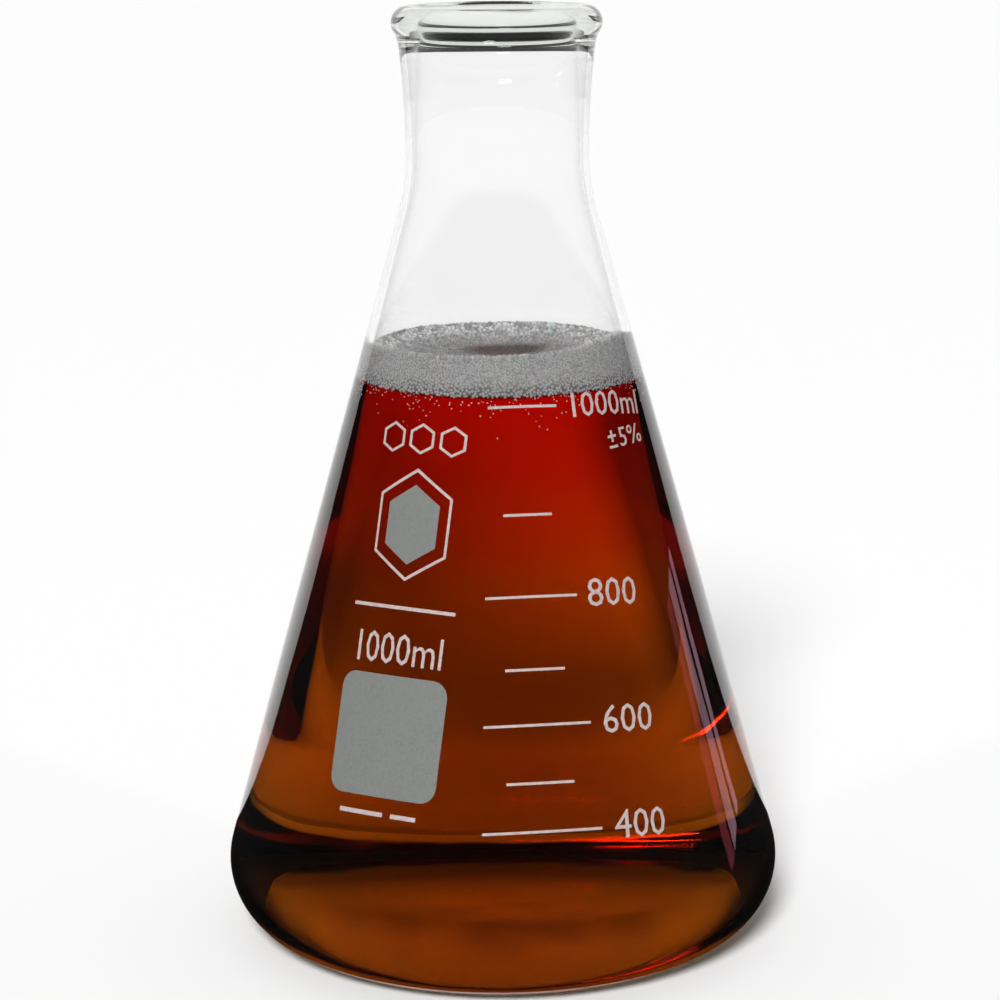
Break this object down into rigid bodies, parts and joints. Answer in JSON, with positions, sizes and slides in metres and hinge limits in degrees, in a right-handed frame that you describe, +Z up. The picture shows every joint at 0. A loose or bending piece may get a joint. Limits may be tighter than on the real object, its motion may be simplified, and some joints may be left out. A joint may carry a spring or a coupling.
{
  "type": "erlenmeyer flask",
  "caption": "Narrow-mouth conical glass laboratory flask with a beaded rim and an enamel volume scale, holding a red-brown fizzy liquid under a foam head.",
  "frame": {"origin": "on the standing plane, under the middle of the base", "axes": "+Z up the neck along the axis of the glass, -Y towards the printed scale, +X to the right of the scale as it is read"},
  "size_m": [0.13, 0.13, 0.217],
  "materials": {
    "clear_glass": "fire-polished clear borosilicate glass, smooth and glossy",
    "liquid": "clear deep red-brown liquid, orange where the light path is short",
    "foam": "grey-white foam of small bubbles, coarser at the top edge",
    "white_enamel": "fired white screen-printed enamel, satin",
    "grey_enamel": "fired grey screen-printed enamel, slightly speckled and matt for writing on"
  },
  "bodies": {
    "root": {"capacity_label_1": "white_enamel", "capacity_label_2": "white_enamel", "capacity_label_3": "white_enamel", "capacity_label_4": "white_enamel", "capacity_label_5": "white_enamel", "capacity_label_6": "white_enamel", "emblem_cell_left": "white_enamel", "emblem_cell_middle": "white_enamel", "emblem_cell_right": "white_enamel", "emblem_core": "grey_enamel", "emblem_outline": "white_enamel", "emblem_rule": "white_enamel", "foam_head": "foam", "footer_dash_long": "white_enamel", "footer_dash_short": "white_enamel", "glass_body": "clear_glass", "graduation_line_1000": "white_enamel", "graduation_line_400": "white_enamel", "graduation_line_500": "white_enamel", "graduation_line_600": "white_enamel", "graduation_line_700": "white_enamel", "graduation_line_800": "white_enamel", "graduation_line_900": "white_enamel", "liquid": "liquid", "numeral_400_1": "white_enamel", "numeral_400_2": "white_enamel", "numeral_400_3": "white_enamel", "numeral_600_1": "white_enamel", "numeral_600_2": "white_enamel", "numeral_600_3": "white_enamel", "numeral_800_1": "white_enamel", "numeral_800_2": "white_enamel", "numeral_800_3": "white_enamel", "tolerance_digit": "white_enamel", "tolerance_minus": "white_enamel", "tolerance_percent_ring_lower": "white_enamel", "tolerance_percent_ring_upper": "white_enamel", "tolerance_percent_slash": "white_enamel", "tolerance_plus": "white_enamel", "top_mark_label_1": "white_enamel", "top_mark_label_2": "white_enamel", "top_mark_label_3": "white_enamel", "top_mark_label_4": "white_enamel", "top_mark_label_5": "white_enamel", "top_mark_label_6": "white_enamel", "writing_patch": "grey_enamel"}
  },
  "joints": []
}
